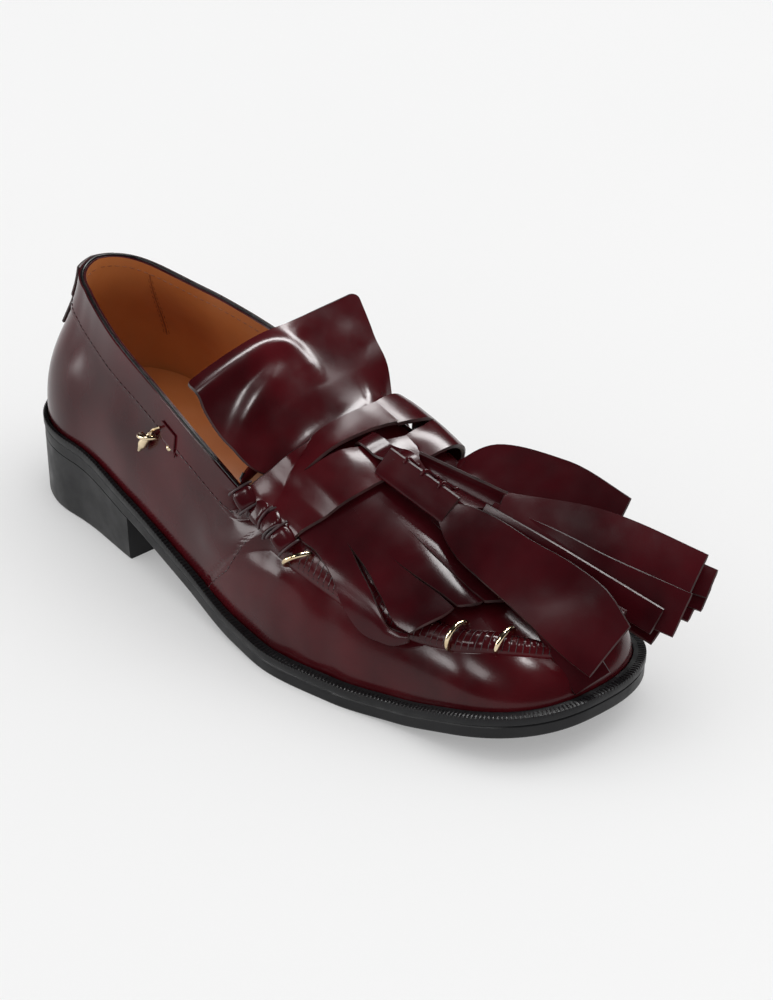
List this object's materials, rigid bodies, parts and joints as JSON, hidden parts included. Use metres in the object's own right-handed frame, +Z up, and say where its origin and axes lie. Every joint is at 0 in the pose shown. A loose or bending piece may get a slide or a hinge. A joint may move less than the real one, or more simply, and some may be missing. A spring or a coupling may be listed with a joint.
{
  "type": "tassel loafer",
  "caption": "Slip-on leather loafer with a low block heel, open collar, standing tongue, slotted strap, fringed kiltie and a hanging leather tassel.",
  "frame": {"origin": "on the ground, under the middle of the heel", "axes": "+X towards the toe, +Y towards the inner side of the foot, +Z up"},
  "size_m": [0.2748, 0.0991, 0.0939],
  "materials": {
    "upper_leather": "polished dark red-brown",
    "trim_leather": "polished dark red-brown",
    "lining": "smooth tan, matte",
    "sole": "satin black",
    "welt": "satin black",
    "metal": "polished pale gold"
  },
  "bodies": {
    "root": {"outsole": "sole", "heel": "sole", "insole": "lining", "welt": "welt", "upper": "upper_leather", "tongue": "upper_leather", "strap": "upper_leather", "kiltie": "trim_leather", "tassel_loop": "trim_leather", "tassel_wrap": "trim_leather", "tassel_fringe": "trim_leather", "roll_outer": "trim_leather", "roll_inner": "trim_leather", "back_strip": "upper_leather", "side_tab": "trim_leather", "hoop_outer": "metal", "hoop_inner": "metal", "hoop_toe_back": "metal", "hoop_toe_front": "metal", "hoop_side": "metal"}
  },
  "joints": []
}
